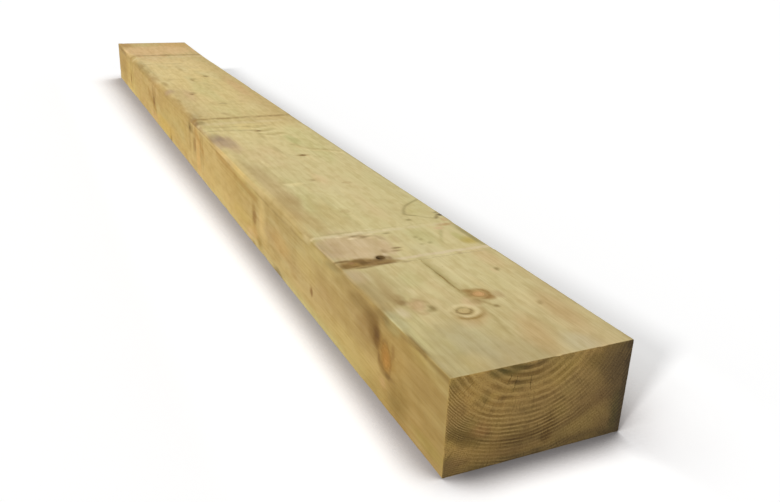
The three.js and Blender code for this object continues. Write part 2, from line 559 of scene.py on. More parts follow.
ring_ridge = 0.16
saw_ridge = 0.06
wave_height = 0.25
rough_height = 0.10
groove_depth = 0.5
swell_height = 0.2
proud = (ring_ridge * (late_wood - 1) + saw_ridge * along_face * (saw_wave - 1)
         + wave_height * (broad_wave - 0.6) + rough_height * (fine_rough - 1)
         - groove_depth * knot_groove + swell_height * (knot_swell - 1))
print(f"Rings, saw marks and knots: {proud.min():.2f} to {proud.max():.2f} mm")

# %% Press in the bearer marks
# Where bearers lay: the near and far side of each, in millimetres from the near end.
bearers = [(311, 448), (1162, 1288), (2135, 2274)]
bearer_depth = 0.6
bearer_edge = 4
pressed = np.zeros(point_count)
for near_side, far_side in bearers:
    uneven = 3 * noise_at(points, (60, 40, 40), 24)
    band = (smooth(from_end + uneven, near_side, near_side + bearer_edge)
            * (1 - smooth(from_end + uneven, far_side - bearer_edge, far_side)))
    pressed = np.maximum(pressed, band * (facing["top"] + facing["bottom"]))
proud -= bearer_depth * pressed
print(f"Points under a bearer: {int((pressed > 0.5).sum())}")

# %% Bruise the edges
edge_distances = np.sort(np.column_stack((np.minimum(from_front, from_back),
                                          np.minimum(depth_below_top, height),
                                          np.minimum(from_end, from_far_end))), axis=1)
from_edge = edge_distances[:, 0] + edge_distances[:, 1]
bruise_noise = noise_at(points, (70, 22, 22), 31, octaves=2)
bruise_depth = 1.2
bruise = (smooth(bruise_noise, 0.3, 0.9) * (1 - smooth(from_edge, 2, 12))
          * (0.3 + 0.7 * smooth(from_end, 0, 150)))
proud -= bruise_depth * bruise

# Small nicks in the edge round the near end: from front, below top, size and depth.
nicks = [(141, 0, 5, 2.0), (96, 0, 4, 1.0), (204, 0, 6, 1.2), (0, 22, 5, 1.0), (0, 96, 5, 1.2)]
for across, below, size, depth in nicks:
    away = np.sqrt((from_front - across) ** 2 + (depth_below_top - below) ** 2 + from_end ** 2)
    proud -= depth * (1 - smooth(away, 0.3 * size, size))

inward = np.clip(-proud, 0, None)
inward -= inward.min()
inward[in_cut] = 0
points -= normals * inward[:, None]
write_points(timber, points * mm)
timber.normal_update()
print(f"Relief: {inward.mean():.2f} mm on average, {inward.max():.2f} mm at most")

# %% [markdown]
# ## Painting the broad colours
#
# Wood that was pressure treated and then stacked outdoors is not one colour. The upper
# face is pale straw with green and pink clouds, the front is more golden, and the end
# grain drinks the treatment and turns brown. Clouds and stains like these are larger than
# a face of the mesh, so they are painted on the points, as with a soft brush in vertex
# paint. The fine grain comes later, in the material. Tones are mixed as they look on
# screen, from 0 to 255, and turned into linear light once, at the end.

# %% Where a brush works
def fade(value, low, high):
    """1 below low, 0 above high, and a soft step between them."""
    return 1 - smooth(value, low, high)


def between(start, full, fading, end):
    """1 along a stretch of the timber, by distance from the near end, and soft at both ends."""
    return smooth(from_end, start, full) * fade(from_end, fading, end)


face_places = {
    "top": (from_end, from_front),
    "front": (from_end, depth_below_top),
    "near end": (from_front, depth_below_top),
}
ragged = noise_at(points, (60, 14, 14), 41, octaves=3)
print(f"Raggedness of the stains: {ragged.min():.2f} to {ragged.max():.2f}")

# %% A pot of paint and two broad brushes
paint = np.zeros((point_count, 3))
print(f"Points to paint: {len(paint)}")


def cover(mask, colour):
    """Lays one colour over the paint, as strong as the mask."""
    paint[:] += np.clip(mask, 0, 1)[:, None] * (np.array(colour) / 255 - paint)


def adjust(mask, factor):
    """Multiplies the paint where the mask is 1: below 1 darkens it, and above 1 lightens it."""
    paint[:] *= 1 - np.clip(mask, 0, 1)[:, None] * (1 - np.array(factor))


def tones_along(stops):
    """Blends tones between stops, each a distance from the near end and a tone."""
    places, *channels = np.transpose(stops)
    return np.column_stack([np.interp(from_end, places, channel) for channel in channels])


# %% A brush for stains and painted shade
def blot(face, place, size, colour, strength, turn=0.0, edge=0.3):
    """A soft ragged blot, for stains and for painted shade: edge is the share of its size that is fully
    covered.
    """
    along, across = face_places[face]
    angle = math.radians(turn)
    step_along = along - place[0]
    step_across = across - place[1]
    turned_along = step_along * math.cos(angle) + step_across * math.sin(angle)
    turned_across = step_across * math.cos(angle) - step_along * math.sin(angle)
    distance = np.hypot(turned_along / size[0], turned_across / size[1]) * (1 + 0.25 * ragged)
    cover(facing[face] * strength * fade(distance, edge, 1.3), colour)


def blots(name, face, rows):
    """A group of blots, stains and painted shade among them: place, size, tone, strength, and a turn where a
    blot lies askew.
    """
    for row in rows:
        blot(face, *row)
    print(f"{name}: {len(rows)} stains")


# %% Brushes for arcs and lines
def arcs(face, place, rows):
    """Curved strokes round a place. Each has a radius, breadth, heading, half angle, tone, strength."""
    along, across = face_places[face]
    away = np.hypot(along - place[0], across - place[1])
    turn = np.degrees(np.arctan2(across - place[1], along - place[0]))
    for radius, breadth, heading, opening, colour, strength in rows:
        off_heading = np.abs((turn - heading + 180) % 360 - 180)
        ring = np.exp(-((away * (1 + 0.08 * ragged) - radius) / breadth) ** 2)
        cover(facing[face] * strength * ring * fade(off_heading, 0.5 * opening, opening), colour)


def stroke(face, stops, breadth, colour, strength):
    """A thin line through several places."""
    along, across = face_places[face]
    away = np.full(point_count, 1e3)
    for start, stop in zip(stops[:-1], stops[1:]):
        step = np.array(stop, float) - start
        share = ((along - start[0]) * step[0] + (across - start[1]) * step[1]) / (step @ step)
        share = np.clip(share, 0, 1)
        nearest = np.hypot(along - start[0] - share * step[0], across - start[1] - share * step[1])
        away = np.minimum(away, nearest)
    cover(facing[face] * strength * np.exp(-(away * (1 + 0.3 * ragged) / breadth) ** 2), colour)


# %% Ground tones of the faces
top_tones = [(0, 189, 172, 125), (130, 195, 179, 130), (250, 201, 187, 137), (500, 202, 189, 138),
             (870, 205, 190, 139), (1160, 210, 193, 138), (1240, 200, 178, 122), (1380, 207, 187, 131),
             (1815, 211, 189, 130), (2150, 213, 191, 135), (2310, 202, 174, 120), (2600, 190, 162, 106)]
front_tones = [(0, 172, 144, 87), (120, 176, 146, 84), (300, 186, 158, 97), (600, 191, 165, 104),
               (1000, 196, 170, 108), (1800, 197, 170, 107), (2300, 197, 170, 108), (2600, 186, 158, 99)]
on_top = facing["top"]
on_sides = facing["front"] + facing["back"]
on_wane = (along_face * smooth(-normals[:, 1] + 0.32 * ragged, 0.15, 0.55)
           * smooth(normals[:, 2], 0.2, 0.5))
pale_bevel = ((0.55 + 0.45 * smooth(from_end, 600, 800)) * between(400, 440, 1180, 1260)
              + 0.7 * between(110, 135, 190, 230))
cover(np.ones(point_count), tones_along(top_tones))
cover(on_sides + on_wane * (1 - pale_bevel), tones_along(front_tones))
# The wane is painted darker: painted shade that tones down the lamp's light on its slope.
adjust(on_wane, (0.94, 0.94, 0.92))
adjust(0.4 * on_wane * smooth(from_end, 1080, 1200), (0.92, 0.90, 0.92))
adjust(on_top * fade(from_back, 3, 7), (0.84, 0.83, 0.80))
cover(on_ends, (146, 119, 67))
print("Ground tones of the top and the front:", len(top_tones), "and", len(front_tones))

# %% Clouds and streaks
cloud = noise_at(points, (260, 70, 70), 42, octaves=3)
other_cloud = noise_at(points, (180, 50, 50), 43, octaves=3)
mottle = noise_at(points, (70, 24, 24), 45, octaves=2)
other_mottle = noise_at(points, (90, 20, 20), 46, octaves=2)
long_streak = noise_at(points, (700, 9, 9), 44, octaves=2)
cover(0.34 * along_face * smooth(cloud, 0.0, 0.8), (188, 186, 126))
cover(0.34 * along_face * smooth(-cloud, 0.1, 0.9), (206, 174, 130))
cover(0.40 * along_face * smooth(other_cloud, 0.2, 0.9), (214, 200, 152))
cover(0.30 * along_face * smooth(mottle, 0.1, 0.8), (186, 172, 122))
cover(0.26 * along_face * smooth(other_mottle, 0.1, 0.8), (216, 196, 144))
cover(0.35 * on_sides * smooth(cloud + mottle, 0.1, 1.0), (208, 178, 104))
cover(0.45 * on_sides * smooth(depth_below_top, 60, 115) * smooth(from_end, 180, 320), (218, 192, 128))
cover(0.28 * on_sides * smooth(-cloud + mottle, 0.1, 1.0), (176, 140, 78))
adjust(0.18 * along_face * smooth(long_streak, 0.1, 0.9), (0.86, 0.83, 0.72))
adjust(0.4 * along_face * smooth(-other_cloud, 0.3, 1.0), (0.93, 0.91, 0.88))
print(f"Clouds from {cloud.min():.2f} to {cloud.max():.2f}")

# %% Worn and shaded strips of the upper face
front_half = on_top * fade(from_front, 20, 80)
cover(0.30 * on_top * fade(from_front, 5, 70) * between(330, 580, 970, 1270), (184, 162, 108))
cover(0.28 * on_top * smooth(from_front, 195, 245), (188, 176, 128))
adjust(front_half * between(190, 220, 290, 310), (0.94, 0.93, 0.92))
adjust(front_half * between(1290, 1330, 1600, 1800), (0.95, 0.94, 0.93))
cover(0.55 * on_top * smooth(from_front, 170, 235) * smooth(from_end, 1150, 1400), (184, 158, 102))
adjust(on_top * fade(from_end, 30, 75) * fade(from_front, 120, 180), (0.95, 0.94, 0.94))
cover(0.6 * on_top * fade(from_front, 2, 5) * fade(from_end, 110, 130), (174, 152, 98))
cover(0.75 * on_top * fade(from_front, 10, 30) * between(158, 180, 290, 330), (174, 151, 101))
cover(0.8 * on_top * fade(from_front, 6, 14) * between(435, 455, 490, 530), (178, 156, 106))
print(f"Share of the points on the upper face: {on_top.mean():.2f}")

# %% [markdown]
# ## Knots and stains, one by one
#
# Noise gives any timber, but this one has knots and stains that a buyer would know it by.
# Each is a row in a table: where it lies, how long and broad it is, its tone, how strongly
# it covers, and its turn in degrees. Later rows lie over earlier ones, as coats of paint
# do. A live knot is a pale disc with a ring of bark, so it takes a few stains and some
# arcs. The next cells work from the near end to the far one.

# %% Two knots on the upper face
knot_a = (140, 98)
knot_b = (178, 141)
pink_tan = (194, 166, 122)
cream = (221, 205, 160)
blots("First knot", "top", [
    ((122, 98), (18, 24), (190, 158, 108), 0.5), ((104, 90), (11, 18), pink_tan, 0.4),
    (knot_a, (23, 21), (206, 188, 138), 0.75), ((160, 118), (18, 13), (200, 172, 128), 0.7, 20),
    ((158, 128), (9, 6), (170, 140, 94), 0.6)])
arcs("top", knot_a, [
    (9.5, 2.2, 160, 120, (136, 116, 68), 0.8), (9.5, 2.0, -20, 80, (146, 130, 82), 0.6),
    (16, 3.5, 40, 300, (220, 205, 160), 0.5), (22.5, 3.2, 180, 62, (146, 118, 62), 0.8),
    (19, 2.6, -118, 50, (152, 128, 78), 0.35), (24, 3.4, 118, 50, (160, 132, 80), 0.6),
    (29, 3.0, 165, 60, (186, 162, 112), 0.35)])
blots("Second knot", "top", [
    (knot_b, (18, 20), (166, 136, 80), 0.85), ((158, 128), (9, 12), (166, 142, 94), 0.5, 15),
    ((138, 144), (5, 5), (134, 116, 70), 0.75), ((164, 153), (9, 7), (146, 112, 60), 0.7, 35),
    ((192, 131), (7, 11), (146, 114, 62), 0.75, 10), ((178, 141), (10, 10), (200, 160, 108), 0.9),
    ((178, 142), (6, 7), (206, 168, 118), 0.9), ((168, 165), (12, 9), (168, 140, 96), 0.5)])
arcs("top", knot_b, [(15, 2.6, 105, 110, (136, 102, 52), 0.7), (13, 3.0, -60, 60, (146, 116, 64), 0.6)])
stroke("top", [(165, 130), (152, 136), (137, 144)], 2.4, (150, 126, 76), 0.55)

# %% A third, pale one, and stains near the end
blots("Third knot", "top", [
    ((176, 51), (22, 13), (184, 157, 113), 0.85, 24), ((176, 52), (11, 6), (206, 180, 138), 0.7, 24),
    ((161, 64), (11, 5.5), (140, 122, 74), 0.85), ((155, 59), (6, 7), (148, 130, 82), 0.6),
    ((204, 36), (13, 9), (158, 134, 86), 0.8), ((189, 34), (11, 9), (140, 115, 71), 0.85),
    ((150, 48), (6, 6), (176, 150, 104), 0.6), ((181, 43), (6, 7), (202, 178, 134), 0.6),
    ((163, 48), (8, 8), (200, 174, 130), 0.6)])
blots("Near the end", "top", [
    ((160, 24), (18, 10), (206, 190, 154), 0.7), ((226, 32), (52, 11), (168, 144, 94), 0.6, 6),
    ((212, 26), (24, 5), (152, 128, 80), 0.5, 4), ((282, 38), (30, 8), (178, 156, 104), 0.45, 4),
    ((212, 64), (20, 11), cream, 0.4), ((203, 88), (26, 14), (206, 194, 142), 0.5),
    ((127, 203), (8, 4), (148, 128, 80), 0.8, 30), ((243, 210), (8, 4.5), (142, 124, 76), 0.85, 20),
    ((240, 203), (12, 5), (212, 188, 140), 0.6), ((98, 122), (52, 3), (164, 144, 92), 0.5, 7),
    ((56, 66), (66, 34), (174, 164, 126), 0.55), ((22, 44), (26, 24), (196, 176, 122), 0.5),
    ((58, 150), (52, 22), (188, 158, 108), 0.6, 8), ((20, 186), (28, 26), (190, 180, 148), 0.5),
    ((104, 216), (58, 22), (186, 156, 108), 0.55), ((66, 27), (55, 13), (178, 162, 116), 0.5),
    ((142, 6), (36, 12), (184, 176, 132), 0.75), ((286, 14), (30, 16), (196, 176, 140), 0.65),
    ((270, 150), (60, 26), (206, 192, 144), 0.5), ((288, 222), (50, 18), (198, 170, 122), 0.5),
    ((250, 80), (40, 18), (190, 184, 128), 0.45), ((210, 185), (46, 18), (202, 190, 138), 0.4)])
stroke("top", [(152, 42), (170, 36), (186, 34)], 2.5, (168, 144, 98), 0.4)
stroke("top", [(160, 68), (178, 66), (194, 52)], 2.5, (168, 144, 98), 0.4)
blot("top", (250, 122), (74, 4), (156, 140, 88), 0.7, turn=0.5)
blot("top", (262, 124), (90, 9), (180, 168, 116), 0.45)

# %% [markdown]
# ## The bearer marks
#
# Sleepers are stacked with laths, called bearers, between the layers. Under a lath the
# wood stays clean and pink, dirt gathers along its sides, and splinters tear up where it
# is dragged off. The nearest mark is the plainest: a pale patch, a brown strip along its
# near side with the knot hole in it, and small torn fibres along its far side. It is made
# of many small strokes, because a few large ones would look airbrushed.

# %% The brown strip beside the knot hole
blot("top", (388, 52), (60, 58), (198, 175, 136), 0.85, edge=0.7)
blot("top", (390, 14), (40, 18), (182, 158, 122), 0.6)
blots("Brown strip", "top", [
    ((326, 28), (17, 36), (148, 117, 62), 0.95), ((334, 2), (14, 6), (184, 160, 112), 0.7),
    ((322, 68), (11, 32), (136, 108, 60), 0.9), ((329, 40), (13, 7), (104, 78, 34), 0.9, 10),
    ((338, 34), (9, 14), (116, 88, 42), 0.85), ((322, 14), (11, 10), (122, 95, 46), 0.8),
    ((316, 70), (5, 16), (120, 92, 48), 0.7), ((342, 14), (4, 16), (110, 84, 42), 0.7),
    ((311, 34), (4, 18), (116, 90, 46), 0.6), ((332, 25), (6, 6), (152, 114, 74), 0.7),
    ((320, 52), (7, 6), (142, 112, 70), 0.5), ((327, 46), (3.5, 8), (104, 78, 38), 0.6, 20),
    ((319, 26), (3.5, 9), (112, 86, 42), 0.6, -15), ((333, 12), (3.5, 7), (164, 134, 84), 0.5),
    ((325, 60), (4, 5), (156, 124, 76), 0.5), ((330, 62), (8, 10), (122, 94, 50), 0.75),
    ((338, 72), (12, 9), (84, 60, 26), 0.95, 32), ((347, 83), (7, 5), (206, 184, 150), 0.7, 20),
    ((360, 88), (9, 6), (152, 126, 86), 0.7), ((366, 112), (4, 9), (128, 104, 64), 0.8),
    ((356, 107), (4, 10), (156, 130, 90), 0.7), ((334, 84), (8, 6), (132, 106, 68), 0.7),
    ((312, 100), (6, 8), (160, 140, 96), 0.6)])

# %% Scuffs and torn fibres
blots("Front half of the mark", "top", [
    ((398, 30), (36, 14), (188, 164, 124), 0.5), ((392, 62), (32, 14), (208, 186, 148), 0.6),
    ((362, 56), (16, 10), (206, 182, 142), 0.6), ((378, 96), (26, 8), (202, 178, 138), 0.6, 10),
    ((405, 12), (28, 8), (182, 162, 116), 0.5), ((384, 44), (34, 4), (186, 160, 120), 0.5, 3),
    ((443, 4), (6, 8), (224, 204, 160), 0.6), ((443, 31), (6, 16), (224, 208, 166), 0.6),
    ((443, 66), (5, 12), (234, 220, 182), 0.85), ((432, 94), (5, 8), (228, 210, 168), 0.7, -30),
    ((423, 61), (4, 9), (230, 212, 172), 0.8), ((433, 70), (3.5, 12), (140, 122, 84), 0.75, -12),
    ((424, 84), (4, 12), (150, 130, 90), 0.7, -20), ((441, 127), (4, 8), (232, 216, 172), 0.8),
    ((428, 122), (4, 7), (144, 128, 86), 0.7), ((416, 104), (16, 5), (168, 146, 104), 0.6, -20),
    ((436, 48), (3.5, 9), (232, 216, 174), 0.7), ((446, 84), (3.5, 9), (230, 214, 172), 0.7),
    ((439, 108), (3.5, 8), (228, 212, 170), 0.7), ((428, 78), (3, 8), (150, 128, 88), 0.6),
    ((418, 92), (5, 9), (218, 196, 156), 0.6), ((452, 100), (3.5, 10), (222, 208, 164), 0.6),
    ((448, 44), (6, 30), (170, 158, 106), 0.5)])
blots("Back half of the mark", "top", [
    ((346, 150), (30, 26), (198, 186, 142), 0.5), ((400, 172), (44, 26), (186, 180, 124), 0.55),
    ((358, 231), (16, 15), (178, 158, 80), 0.75), ((381, 224), (22, 8), (176, 168, 104), 0.6),
    ((384, 243), (60, 4), (136, 124, 78), 0.75), ((397, 159), (6, 4), (158, 146, 96), 0.7, 20),
    ((386, 161), (6, 4), (162, 150, 98), 0.7, 28), ((369, 169), (6, 4), (156, 144, 94), 0.7, 28),
    ((367, 154), (5, 4), (164, 150, 100), 0.6, 28), ((382, 196), (30, 3), (178, 168, 114), 0.5, 24),
    ((402, 206), (28, 3), (172, 160, 108), 0.5, 26), ((436, 229), (7, 16), (176, 140, 92), 0.8),
    ((423, 214), (8, 9), (204, 172, 132), 0.7), ((317, 193), (5, 3), (176, 152, 112), 0.7)])

# %% A pitch streak that curls round, and the wood beyond it
stroke("top", [(566, 246), (549, 221), (538, 208), (516, 195), (500, 189), (493, 194), (488, 204)], 2.2,
       (140, 126, 80), 0.75)
stroke("top", [(488, 204), (476, 214), (466, 228)], 2.0, (158, 144, 96), 0.5)
blots("Round the streak", "top", [
    ((472, 183), (5, 5), (140, 126, 80), 0.75), ((479, 245), (6, 5), (86, 72, 46), 0.95),
    ((492, 244), (4, 5), (118, 104, 66), 0.8), ((468, 232), (8, 3), (122, 106, 66), 0.8, 20),
    ((476, 238), (14, 3), (132, 114, 70), 0.7, 20), ((456, 240), (10, 6), (190, 156, 112), 0.6),
    ((508, 208), (26, 12), (196, 186, 128), 0.5), ((540, 72), (90, 22), (188, 168, 112), 0.55),
    ((520, 30), (70, 20), (178, 152, 98), 0.55), ((560, 12), (50, 12), (172, 142, 88), 0.5),
    ((600, 110), (80, 18), (212, 200, 148), 0.5), ((480, 130), (50, 30), (204, 192, 138), 0.4)])

# %% Stains farther along the upper face
blots("As far as the middle bearer", "top", [
    ((698, 27), (150, 24), (183, 159, 111), 0.62), ((633, 38), (50, 12), (178, 154, 108), 0.5),
    ((717, 70), (11, 20), (228, 214, 162), 0.8), ((706, 84), (5, 16), (168, 150, 98), 0.6),
    ((735, 113), (5, 15), (150, 126, 76), 0.8), ((738, 127), (40, 11), (214, 190, 142), 0.6),
    ((909, 152), (7, 15), (146, 120, 66), 0.75), ((894, 161), (40, 6), (214, 194, 142), 0.5),
    ((885, 57), (50, 5), (218, 202, 150), 0.6, -4), ((969, 114), (40, 6), (168, 146, 94), 0.5),
    ((1040, 173), (60, 14), (178, 174, 114), 0.6), ((1029, 30), (70, 18), (190, 162, 124), 0.7),
    ((1106, 68), (90, 8), (216, 200, 148), 0.6), ((1060, 20), (60, 25), (170, 146, 116), 0.9),
    ((1046, 34), (30, 14), (182, 160, 124), 0.7), ((1140, 124), (8, 14), (158, 128, 80), 0.7),
    ((1195, 105), (40, 40), (220, 200, 138), 0.6), ((808, 24), (74, 28), (180, 159, 110), 0.65),
    ((870, 10), (30, 14), (180, 160, 110), 0.5), ((629, 22), (46, 28), (172, 148, 96), 0.65),
    ((1101, 118), (60, 5), (170, 150, 98), 0.5, 2), ((1229, 58), (30, 6), (214, 190, 138), 0.5),
    ((1251, 13), (30, 16), (146, 128, 80), 0.75), ((1332, 94), (20, 7), (160, 136, 86), 0.6, -20)])
blots("As far as the end", "top", [
    ((1610, 68), (10, 14), (132, 108, 62), 0.85), ((1655, 15), (30, 20), (168, 142, 108), 0.85),
    ((1600, 40), (90, 30), (194, 172, 120), 0.5), ((2108, 8), (16, 16), (160, 132, 78), 0.6),
    ((1833, 119), (8, 14), (160, 138, 82), 0.6), ((2326, 122), (14, 24), (146, 110, 64), 0.7),
    ((1588, 58), (90, 16), (202, 172, 128), 0.5), ((1766, 23), (50, 9), (162, 138, 86), 0.65),
    ((1815, 113), (28, 5), (164, 140, 86), 0.7), ((1875, 166), (26, 7), (158, 138, 80), 0.7),
    ((1703, 218), (200, 20), (200, 166, 116), 0.6), ((1930, 57), (120, 26), (216, 196, 140), 0.5),
    ((2027, 116), (60, 8), (184, 158, 104), 0.5), ((2120, 3), (60, 10), (164, 140, 84), 0.5),
    ((2359, 37), (70, 24), (200, 168, 122), 0.6), ((2548, 21), (50, 26), (168, 132, 78), 0.7),
    ((2544, 199), (60, 60), (196, 158, 98), 0.6)])
blot("top", (2425, 118), (90, 130), (212, 178, 128), 0.65, edge=0.7)
for stops in ([(1190, 112), (1178, 128), (1186, 150)], [(1150, 108), (1136, 130), (1150, 160)],
              [(1112, 118), (1096, 140), (1108, 168)], [(1000, 160), (960, 176), (946, 204), (920, 236)]):
    stroke("top", stops, 6, (172, 152, 96), 0.55)
    stroke("top", [(x - 14, across + 3) for x, across in stops], 5, (222, 206, 154), 0.55)

# %% [markdown]
# ## The front
#
# The front was sawn nearer the outside of the log. It is more golden, and its knots were
# cut slantwise, so each leaves a long flame of dark and orange wood that climbs towards
# the worn front edge. The same brushes paint it, and near the end they also paint shade
# under the front edge: a dark shadow line and a broad darker band.

# %% The flame near the end, and painted shade under the front edge
# These two strokes, 3 to 7 mm below the top, are a painted shadow line just under the front edge.
stroke("front", [(56, 3), (80, 3), (98, 5), (118, 7)], 2.8, (138, 108, 58), 0.5)
stroke("front", [(0, 3.5), (56, 4)], 3.6, (154, 126, 70), 0.4)
blots("Near part of the front", "front", [
    ((144, 8), (26, 12), (172, 158, 106), 0.6), ((52, 18), (56, 8), (176, 150, 88), 0.5),
    ((54, 56), (60, 32), (168, 139, 82), 0.5), ((120, 44), (26, 16), (188, 156, 94), 0.6),
    # The blots at 296, 250 and 206 mm from the end are painted shade under the front edge; the last reaches
    # down into the knot's dark wood.
    ((296, 12), (30, 8), (176, 150, 92), 0.4, 4), ((250, 20), (50, 14), (148, 121, 67), 0.6, 6),
    ((206, 28), (26, 18), (134, 104, 52), 0.75, 10), ((222, 50), (34, 20), (162, 130, 76), 0.6),
    ((190, 38), (20, 28), (130, 98, 44), 0.8, 10), ((186, 42), (9, 17), (106, 74, 26), 0.85, 10),
    ((158, 58), (24, 24), (172, 132, 62), 0.85), ((156, 56), (12, 14), (186, 140, 68), 0.75, 10),
    ((157, 62), (6, 8), (200, 152, 82), 0.7), ((172, 76), (10, 7), (132, 98, 42), 0.7, -30),
    ((148, 80), (26, 4), (126, 96, 48), 0.7, 6), ((138, 42), (6, 12), (150, 114, 58), 0.6),
    ((178, 66), (4, 8), (130, 98, 50), 0.6), ((196, 86), (36, 14), (202, 172, 114), 0.7),
    ((116, 90), (36, 20), (156, 128, 68), 0.75), ((122, 108), (34, 14), (150, 124, 66), 0.6),
    ((164, 96), (12, 8), (204, 164, 116), 0.6), ((36, 110), (50, 12), (168, 146, 78), 0.6),
    ((262, 96), (110, 22), (204, 178, 108), 0.55), ((300, 60), (70, 14), (182, 152, 88), 0.45),
    ((346, 9), (30, 6), (150, 130, 78), 0.5, 8), ((460, 6), (24, 10), (208, 188, 138), 0.7),
    ((432, 84), (9, 6), (150, 116, 64), 0.6), ((455, 58), (60, 24), (206, 180, 114), 0.55),
    ((560, 22), (120, 12), (178, 152, 90), 0.5)])

# %% Stains farther along the front
blots("Rest of the front", "front", [
    ((752, 66), (14, 32), (164, 132, 71), 0.75), ((699, 48), (26, 34), (216, 189, 125), 0.8),
    ((704, 66), (15, 26), (220, 190, 126), 0.65), ((782, 108), (24, 17), (220, 186, 138), 0.65),
    ((746, 97), (26, 12), (212, 170, 114), 0.6), ((716, 108), (18, 11), (162, 134, 70), 0.7),
    ((756, 123), (17, 7), (160, 130, 72), 0.65), ((2496, 9), (92, 9), (172, 142, 86), 0.55),
    ((680, 92), (16, 20), (216, 188, 124), 0.6), ((603, 121), (26, 8), (134, 112, 70), 0.65),
    ((592, 62), (60, 22), (200, 162, 94), 0.55), ((819, 91), (90, 16), (206, 180, 108), 0.5),
    ((929, 41), (80, 18), (186, 156, 92), 0.5), ((1230, 72), (26, 56), (212, 172, 106), 0.6),
    ((1313, 24), (30, 14), (132, 112, 58), 0.75), ((1670, 100), (150, 24), (212, 182, 98), 0.6),
    ((1839, 108), (70, 18), (210, 172, 118), 0.6), ((2467, 61), (120, 70), (180, 148, 84), 0.6),
    ((2121, 62), (90, 22), (206, 178, 112), 0.5)])
for from_near_end in (1182, 1202, 1259, 1279, 1315, 1815, 1852, 1921, 2266, 2305):
    blot("front", (from_near_end, 52), (8, 50), (160, 132, 72), 0.55)
upper_front = on_sides * fade(depth_below_top, 10, 18) * smooth(from_end, 580, 820)
cover(0.6 * upper_front * fade(from_end, 1020, 1080), (208, 184, 134))
stroke("front", [(1041, 17), (954, 20), (875, 24), (801, 27), (733, 29)], 6, (172, 136, 72), 0.6)
stroke("front", [(1937, 39), (1892, 64), (1811, 82)], 9, (172, 136, 68), 0.6)
stroke("front", [(1253, 19), (1213, 36), (1175, 53)], 9, (176, 138, 70), 0.6)
print(f"Share of the points on the upper part of the front: {upper_front.mean():.3f}")

# %% Lighter and darker stretches of the front
foot = smooth(depth_below_top, 104, 122)
upper_edge = fade(depth_below_top, 10, 20)
adjust(on_sides * foot * smooth(from_end, 250, 420), (1.01, 1.04, 1.09))
adjust(on_sides * fade(from_end, 150, 260), (1.0, 0.995, 0.95))
adjust(on_sides * smooth(depth_below_top, 102, 120) * between(120, 170, 400, 600), (1.03, 1.06, 1.06))
adjust(on_sides * smooth(from_end, 600, 900), (1.02, 1.0, 0.94))
adjust(on_sides * between(850, 980, 1290, 1400), (1.03, 1.035, 1.07))
adjust(on_sides * between(2200, 2270, 2380, 2440) * smooth(depth_below_top, 14, 40), (1.05, 1.06, 1.04))
adjust(on_sides * upper_edge * between(780, 840, 880, 930), (1.07, 1.07, 1.04))
adjust(on_sides * upper_edge * between(940, 980, 1010, 1050), (1.05, 1.05, 1.03))
print(f"Mean tone of the front: {np.average(paint, axis=0, weights=facing['front']).round(2).tolist()}")

# %% [markdown]
# ## Painted shade along the front edge
#
# Along the front edge the paint is darker. On the rounded edge and the wane this is painted
# shade, and a painted shadow line runs over the edge; strips of the upper face beside it are
# darker too. The line is strongest where the wane begins and ends. The distance from the
# front less the distance below the top is nought on the middle of the round, so a narrow
# bell curve over it draws a line that follows the wane wherever it goes.

# %% Paint shade along the front edge
round_edge = from_front - depth_below_top
# A painted shadow line over the rounded front edge from 42 to 122 mm, and painted shade round the edge near
# the end and at 144 to 204 mm.
edge_shadow_line = along_face * np.exp(-((round_edge - 1.5 + 0.6 * ragged) / 3.2) ** 2)
cover(0.85 * edge_shadow_line * between(42, 66, 94, 122), (126, 104, 58))
adjust(along_face * np.exp(-((round_edge + 1) / 6) ** 2) * fade(from_end, 34, 62), (0.93, 0.93, 0.91))
adjust(along_face * np.exp(-((round_edge + 3) / 13) ** 2) * between(144, 162, 182, 204), (0.87, 0.86, 0.84))

edge_shade_zone = along_face * fade(from_front, 4, 13) * fade(depth_below_top, 2, 6)
front_strip = on_top * fade(from_front, 18, 34)
adjust(front_strip * between(1060, 1084, 1124, 1150), (0.88, 0.87, 0.88))
adjust(front_strip * between(1280, 1300, 1330, 1370), (0.93, 0.93, 0.93))
adjust(front_strip * between(1800, 1880, 2160, 2280), (0.89, 0.89, 0.88))
adjust(edge_shade_zone * between(240, 264, 560, 700), (0.93, 0.93, 0.92))
adjust(on_top * fade(from_front, 10, 24) * between(186, 204, 246, 268), (0.94, 0.94, 0.93))
adjust(edge_shade_zone * between(960, 1000, 1040, 1100), (0.95, 0.95, 0.95))
adjust(on_sides * fade(depth_below_top, 10, 22) * smooth(from_end, 2380, 2430), (0.92, 0.92, 0.93))
# Two stretches of the wane are painted darker: painted shade on its slope.
adjust(on_wane * between(1050, 1120, 1290, 1340), (0.93, 0.91, 0.92))
adjust(on_wane * between(1190, 1230, 1290, 1340), (0.94, 0.92, 0.93))
print(f"Points on the wane: {int((on_wane > 0.5).sum())}")
